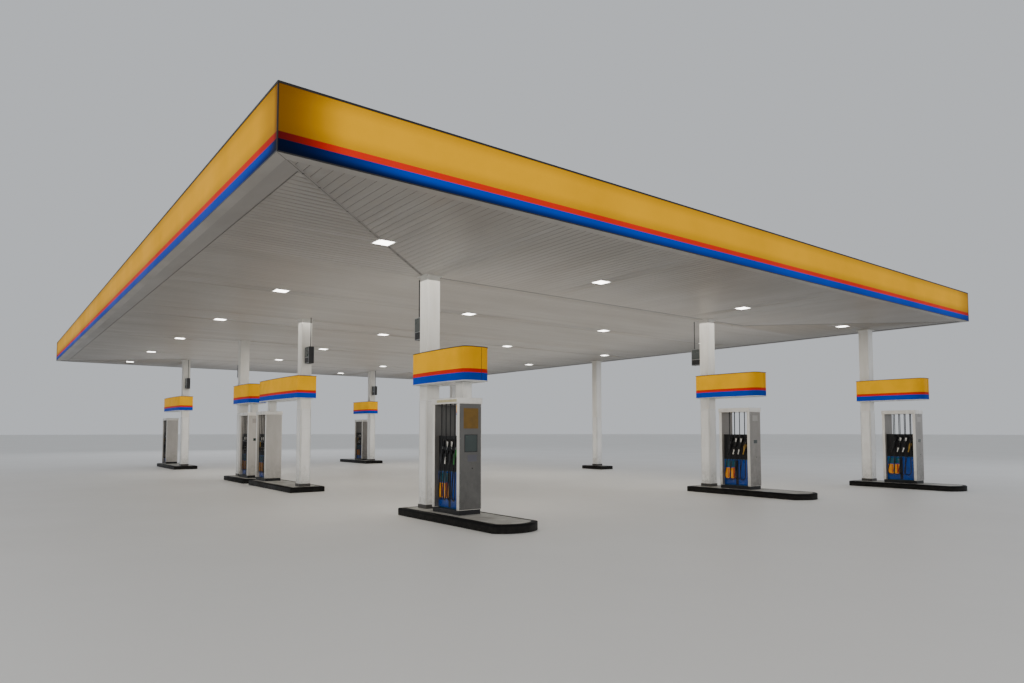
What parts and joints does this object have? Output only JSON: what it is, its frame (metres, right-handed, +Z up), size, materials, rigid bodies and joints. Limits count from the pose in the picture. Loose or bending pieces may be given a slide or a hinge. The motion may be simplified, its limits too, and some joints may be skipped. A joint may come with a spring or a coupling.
{
  "type": "filling station canopy",
  "caption": "Flat filling station canopy with a lit banded fascia, strip soffit with recessed lamps, box columns on pump islands, and bay signs over the pumps.",
  "frame": {"origin": "on the ground at the middle of the canopy's plan", "axes": "+X to the right along the front fascia, +Y from front to back, +Z up"},
  "size_m": [20.6, 30.4, 5.86],
  "materials": {
    "lit_yellow": "opal acrylic, lit from behind",
    "lit_red": "opal acrylic, lit from behind",
    "lit_blue": "opal acrylic, lit from behind",
    "dark_cap": "satin powder coat",
    "pale_trim": "satin",
    "galvanised": "zinc coated sheet, matt",
    "soffit_white": "satin white coated strips",
    "lamp_body": "white enamel",
    "lamp_lens": "frosted",
    "column_white": "satin powder coat",
    "board_white": "gloss coated sheet",
    "nozzle_cover": "moulded covers over cast aluminium",
    "hose_rubber": "smooth matt rubber",
    "skirting": "satin",
    "kerb_black": "black painted concrete kerb",
    "paving_grey": "trowelled concrete",
    "pump_white": "satin enamel",
    "pump_blue": "gloss enamel",
    "pump_black": "moulded, matt",
    "box_dark": "matt"
  },
  "bodies": {
    "root": {"fascia_front": "lit_yellow", "fascia_right": "lit_yellow", "fascia_rear": "lit_yellow", "fascia_left": "lit_yellow", "fascia_red_bands": "lit_red", "fascia_blue_bands": "lit_blue", "fascia_caps": "dark_cap", "fascia_trims": "pale_trim", "fascia_trays": "galvanised", "fascia_stays": "galvanised", "soffit_field": "soffit_white", "soffit_front": "soffit_white", "soffit_rear": "soffit_white", "soffit_borders": "soffit_white", "soffit_strips": "soffit_white", "lamp_housings": "lamp_body", "lamp_frames": "lamp_body", "lamp_lenses": "lamp_lens", "roof_beams": "galvanised", "roof_purlins": "galvanised", "roof_deck": "galvanised", "roof_gutters": "galvanised", "columns_left": "column_white", "columns_middle": "column_white", "columns_right": "column_white", "column_collars": "column_white", "column_boards": "board_white", "column_skirts": "skirting", "island_kerbs": "kerb_black", "island_paving": "paving_grey", "pump_plinths": "pump_black", "pump_cabinets": "pump_blue", "pump_end_panels": "pump_white", "pump_headers": "pump_white", "nozzle_bays": "pump_black", "nozzle_boots": "pump_black", "pump_nozzles": "nozzle_cover", "hose_glands": "pump_black", "pump_hoses": "hose_rubber", "sign_bases": "column_white", "sign_blue_bands": "lit_blue", "sign_red_bands": "lit_red", "sign_yellow_faces": "lit_yellow", "sign_caps": "pale_trim", "sign_stub_posts": "column_white", "hanging_boxes": "box_dark", "hanging_rods": "box_dark", "hanging_brackets": "box_dark"}
  },
  "joints": []
}
